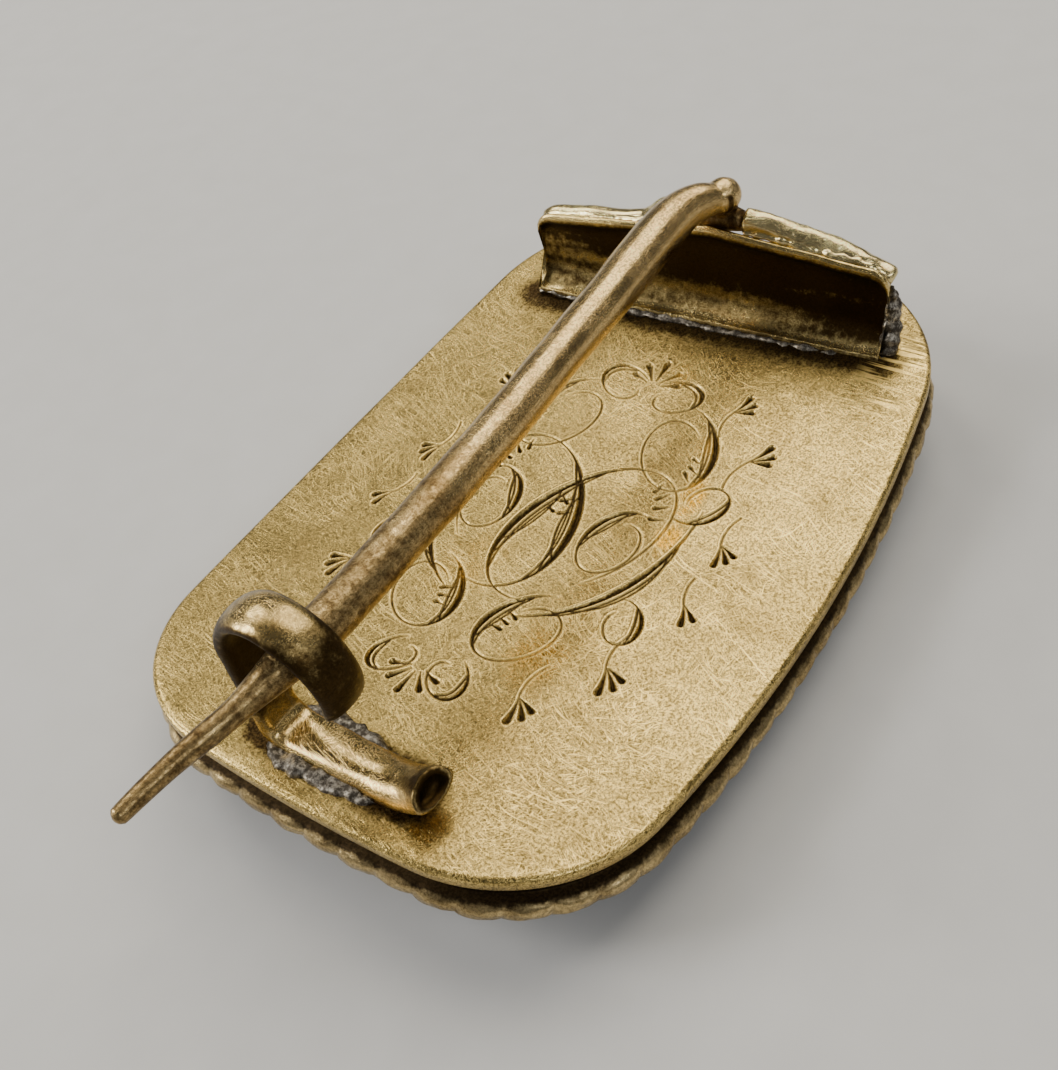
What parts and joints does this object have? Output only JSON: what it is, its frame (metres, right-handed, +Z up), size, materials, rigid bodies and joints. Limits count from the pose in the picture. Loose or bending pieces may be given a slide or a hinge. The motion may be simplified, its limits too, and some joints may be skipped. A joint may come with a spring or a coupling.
{
  "type": "mourning brooch",
  "caption": "Rounded-rectangular Victorian gold mourning brooch seen from the back, with its pin, hinge bracket and crook catch, lying on its glazed front",
  "frame": {"origin": "middle of the box's underside, which the bezel round the glass rests on", "axes": "+X along the brooch from the catch to the hinge, +Y across it, +Z up from the glazed front to the pin"},
  "size_m": [0.0274, 0.0168, 0.0087],
  "materials": {
    "plate_gold": "satin, finely scratched, with brown patina",
    "border_gold": "worn, dirt in the hollows",
    "crystal": "clear, polished",
    "hair": "plain woven hair",
    "pin_gold": "satin, copper-toned"
  },
  "bodies": {
    "root": {"back_plate": "plate_gold", "border": "border_gold", "glass": "crystal", "hair_panel": "hair"},
    "pin": {"pin": "pin_gold"}
  },
  "joints": [
    {"name": "pin_hinge", "type": "hinge", "parent": "root", "child": "pin", "pos_m": [0.01076, -0.00027, 0.00633], "axis": [-0.075, 0.9972, 0], "range_deg": [0, 80]}
  ]
}
